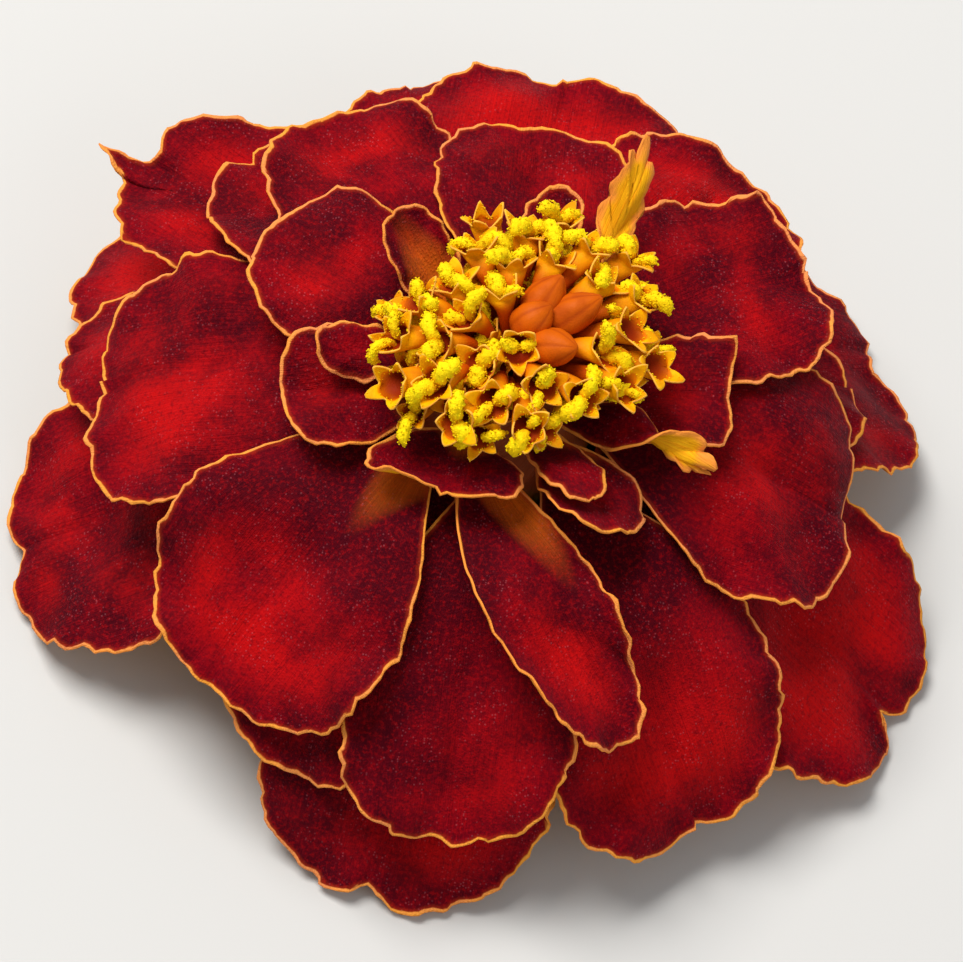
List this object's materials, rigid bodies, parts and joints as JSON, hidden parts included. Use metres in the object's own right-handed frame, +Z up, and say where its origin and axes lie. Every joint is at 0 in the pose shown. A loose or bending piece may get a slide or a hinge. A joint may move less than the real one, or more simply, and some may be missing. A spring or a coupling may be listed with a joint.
{
  "type": "marigold flower",
  "caption": "Double marigold bloom: dark red velvet ray petals with thin golden edges in drooping tiers round a golden disc of florets, on a green ribbed cup with a short cut stub.",
  "frame": {"origin": "Centre of the box round the flower, on the surface it rests on, in line with the cut end of the stub.", "axes": "+Z up along the flower's axis, out through the disc; the long horned ray is on the -X +Y side and the lowest front ray points to -Y."},
  "size_m": [0.0534, 0.0512, 0.0234],
  "materials": {
    "green_stem": "Soft satin green plant skin, finely grooved, paler at the cut end.",
    "green_bract": "Satin green bract skin with raised ribs and small darker glands.",
    "petal_velvet": "Dark crimson velvet upper face, thin golden orange rim, golden underside with fine lengthwise veins.",
    "disc_gold": "Matte golden orange florets with bright yellow pollen tips."
  },
  "bodies": {
    "root": {"stem": "green_stem", "cup": "green_bract", "ray_front_low": "petal_velvet", "ray_left_low": "petal_velvet", "ray_left_back_low": "petal_velvet", "ray_left_small": "petal_velvet", "ray_right_low": "petal_velvet", "ray_right_front_low": "petal_velvet", "ray_back_right_small": "petal_velvet", "ray_back_small": "petal_velvet", "ray_back_low": "petal_velvet", "ray_front_left_small": "petal_velvet", "ray_right_small": "petal_velvet", "ray_front_right": "petal_velvet", "ray_front": "petal_velvet", "ray_back_right": "petal_velvet", "ray_back_left_horned": "petal_velvet", "ray_right": "petal_velvet", "ray_left": "petal_velvet", "ray_front_left": "petal_velvet", "ray_upper_left": "petal_velvet", "ray_back_left_inner": "petal_velvet", "ray_back_inner": "petal_velvet", "ray_right_inner": "petal_velvet", "ray_left_inner": "petal_velvet", "ray_front_rolled": "petal_velvet", "ray_boat": "petal_velvet", "ray_fold_right": "petal_velvet", "ray_crescent": "petal_velvet", "ray_fold_front": "petal_velvet", "ray_upright": "petal_velvet", "ray_cup": "petal_velvet", "ray_tiny_left": "petal_velvet", "ray_tiny_back": "petal_velvet", "ray_curled_right": "petal_velvet", "ray_tiny_front": "petal_velvet", "disc": "disc_gold"}
  },
  "joints": []
}
